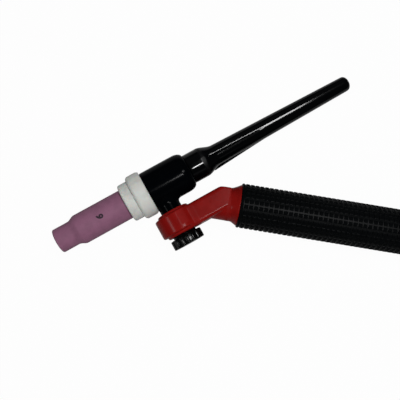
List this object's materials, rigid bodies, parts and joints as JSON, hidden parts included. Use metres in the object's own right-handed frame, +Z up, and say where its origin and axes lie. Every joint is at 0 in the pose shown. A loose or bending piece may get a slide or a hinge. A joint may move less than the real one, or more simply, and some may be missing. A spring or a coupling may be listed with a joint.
{
  "type": "tig torch",
  "caption": "Air-cooled TIG welding torch: ceramic gas cup, white heat shield, black head with a long finned back cap, red neck with a needle valve, and a ribbed tubular handle.",
  "frame": {"origin": "centre of the handle's rear mouth, where the gas and power cable enters", "axes": "+X along the handle and out of its rear mouth, +Y towards the side of the back cap, +Z up, square to the torch's plane of symmetry; the torch lies on its side"},
  "size_m": [0.2905, 0.1254, 0.0264],
  "materials": {
    "alumina": "fired alumina, pink, fine matt grain",
    "ptfe": "white, waxy, satin",
    "brass": "machined",
    "copper": "drawn copper",
    "tungsten": "ground",
    "moulded_black": "moulded, satin gloss",
    "cap_black": "moulded, gloss",
    "seal_rubber": "smooth rubber",
    "knob_black": "moulded, satin",
    "steel": "zinc plated",
    "moulded_red": "moulded, satin",
    "grip_black": "moulded grip, small studs in rows"
  },
  "bodies": {
    "torch": {"handle": "grip_black", "neck_cover": "moulded_red", "gas_tube": "copper", "cable_connector": "brass", "valve_body": "brass", "valve_seat": "ptfe", "packing_nut": "brass", "riser_tube": "brass", "head_core": "brass", "head_cover": "moulded_black", "collet_body": "brass", "collet": "copper"},
    "gasket": {"cup_gasket": "ptfe"},
    "cup": {"nozzle_cup": "alumina"},
    "cap_seal": {"cap_o_ring": "seal_rubber"},
    "cap": {"back_cap": "cap_black"},
    "stem_seal": {"stem_o_ring": "seal_rubber"},
    "valve": {"valve_stem": "brass", "valve_knob": "knob_black", "knob_screw": "steel"},
    "electrode": {"electrode": "tungsten"}
  },
  "joints": [
    {"name": "cup_travel", "type": "slide", "parent": "torch", "child": "gasket", "axis": [-0.7815, -0.6239, 0], "range_m": [0, 0.00762]},
    {"name": "cup_turn", "type": "hinge", "parent": "gasket", "child": "cup", "pos_m": [-0.27071, -0.02395, 0], "axis": [-0.7815, -0.6239, 0], "range_deg": [0, 2160]},
    {"name": "cap_travel", "type": "slide", "parent": "torch", "child": "cap_seal", "axis": [0.7815, 0.6239, 0], "range_m": [0, 0.00794]},
    {"name": "cap_turn", "type": "hinge", "parent": "cap_seal", "child": "cap", "pos_m": [-0.22139, 0.01542, 0], "axis": [0.7815, 0.6239, 0], "range_deg": [0, 3600]},
    {"name": "valve_travel", "type": "slide", "parent": "torch", "child": "stem_seal", "axis": [0.6239, -0.7815, 0], "range_m": [0, 0.00105]},
    {"name": "valve_turn", "type": "hinge", "parent": "stem_seal", "child": "valve", "pos_m": [-0.22236, -0.01478, 0], "axis": [0.6239, -0.7815, 0], "range_deg": [0, 540]},
    {"name": "electrode_feed", "type": "slide", "parent": "torch", "child": "electrode", "axis": [-0.7815, -0.6239, 0], "range_m": [-0.002, 0.018]}
  ],
  "couplings": [
    {"joint": "cup_travel", "follows": "cup_turn", "m_per_rad": 0.00020213},
    {"joint": "cap_travel", "follows": "cap_turn", "m_per_rad": 0.00012633},
    {"joint": "valve_travel", "follows": "valve_turn", "m_per_rad": 0.00011141}
  ]
}
